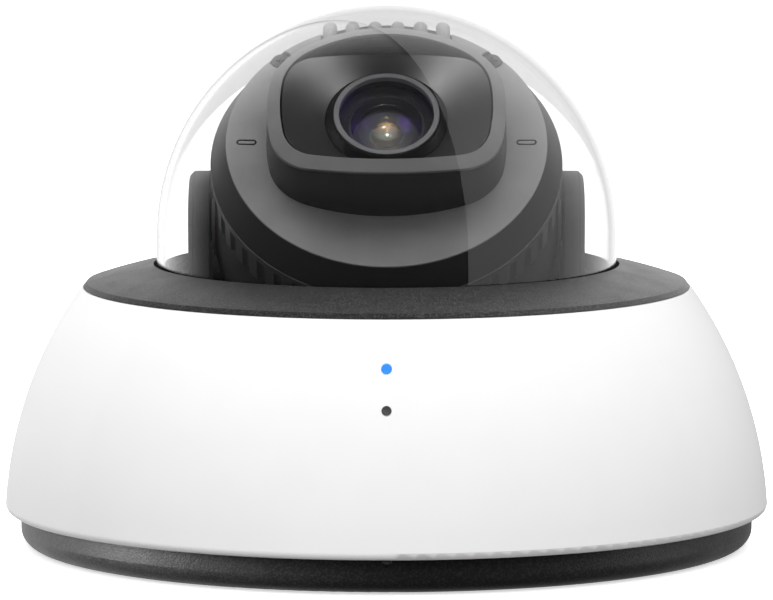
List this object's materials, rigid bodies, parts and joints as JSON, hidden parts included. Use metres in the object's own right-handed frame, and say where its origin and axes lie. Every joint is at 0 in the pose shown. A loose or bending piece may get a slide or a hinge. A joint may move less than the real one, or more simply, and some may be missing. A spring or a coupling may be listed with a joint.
{
  "type": "dome security camera",
  "caption": "Fixed dome camera: round base on a twist-lock plate, lift-off shell with a clear bubble, and a head that pans, tilts and turns its image.",
  "frame": {"origin": "centre of the mounting face under the base", "axes": "+Z away from the mounting face through the bubble's top; the lens and the status light face -Y; +X is to the right seen from the front"},
  "size_m": [0.155, 0.155, 0.1096],
  "materials": {
    "black_shell": "fine texture",
    "black_frame": "fine texture",
    "grip": "satin",
    "face": "fine texture",
    "hood": "satin",
    "window": "polished",
    "barrel": "satin",
    "bezel": "anodised",
    "front_lens": "coated",
    "inner_lens": "coated",
    "white_shell": "satin",
    "trim": "fine texture",
    "clear_bubble": "polished",
    "seal": "matte",
    "washer": "smooth",
    "screw": "zinc",
    "face_screw": "black oxide",
    "circuit_board": "solder mask",
    "chip": "moulded",
    "light": "clear",
    "mesh": "woven",
    "spreader": "milled"
  },
  "bodies": {
    "base": {"base_housing": "black_shell", "lock_screw": "screw", "cable_grommet": "seal", "cover_gasket": "seal", "main_board": "circuit_board", "base_screws": "screw", "heat_spreader": "spreader", "thermal_pad": "seal", "board_components": "chip", "network_jack": "black_frame", "reset_switch": "black_frame", "status_board": "circuit_board", "status_light": "light", "microphone": "chip", "mic_boot": "seal", "chassis_plate": "black_frame", "pan_washer": "washer"},
    "mount": {"mount_plate": "black_shell"},
    "reset_button": {"reset_plunger": "black_frame"},
    "pan": {"turntable": "black_frame", "pan_retainer": "black_frame", "turntable_screws": "screw", "yoke_left": "black_frame", "yoke_right": "black_frame", "arm_cover_left": "black_shell", "arm_cover_right": "black_shell"},
    "tilt": {"cradle": "black_frame", "tilt_washers": "washer", "tilt_retainers": "screw", "tilt_screws": "screw"},
    "head": {"head_frame": "black_frame", "roll_retainer": "black_frame", "grip_ring": "grip", "face_cover": "face", "face_screws": "face_screw", "hood": "hood", "window": "window", "infrared_board": "circuit_board", "infrared_lights": "light", "lens_barrel": "barrel", "lens_bezel": "bezel", "front_glass": "front_lens", "lens_spacer": "black_frame", "second_glass": "inner_lens", "iris_ring": "black_frame", "lens_holder": "black_frame", "sensor_board": "circuit_board", "image_sensor": "chip"},
    "filter": {"filter_slide": "black_frame", "filter_glass": "inner_lens"},
    "zoom": {"zoom_group": "black_frame", "zoom_glass": "inner_lens"},
    "cover": {"skirt": "white_shell", "light_pipe": "light", "mic_mesh": "mesh", "bubble": "clear_bubble", "bubble_gasket": "seal", "trim_ring": "trim", "trim_screws": "screw"}
  },
  "joints": [
    {"name": "mount_twist", "type": "hinge", "parent": "base", "child": "mount", "pos_m": [0, 0, 0], "axis": [0, 0, 1], "range_deg": [0, 24]},
    {"name": "reset_press", "type": "slide", "parent": "base", "child": "reset_button", "axis": [0, 0, -1], "range_m": [0, 0.0003], "stiffness_N_per_m": 200},
    {"name": "pan_turn", "type": "hinge", "parent": "base", "child": "pan", "pos_m": [0, 0, 0.0658], "axis": [0, 0, 1], "range_deg": [-175, 175]},
    {"name": "tilt_turn", "type": "hinge", "parent": "pan", "child": "tilt", "pos_m": [0, 0, 0.0658], "axis": [-1, 0, 0], "range_deg": [-45, 40]},
    {"name": "image_turn", "type": "hinge", "parent": "tilt", "child": "head", "pos_m": [0, 0, 0.0658], "axis": [0, -0.7071, 0.7071], "range_deg": [-95, 95]},
    {"name": "filter_shift", "type": "slide", "parent": "head", "child": "filter", "axis": [1, 0, 0], "range_m": [0, 0.01]},
    {"name": "zoom_shift", "type": "slide", "parent": "head", "child": "zoom", "axis": [0, -0.7071, 0.7071], "range_m": [0, 0.002]},
    {"name": "cover_lift", "type": "slide", "parent": "base", "child": "cover", "axis": [0, 0, 1], "range_m": [0, 0.12]}
  ]
}
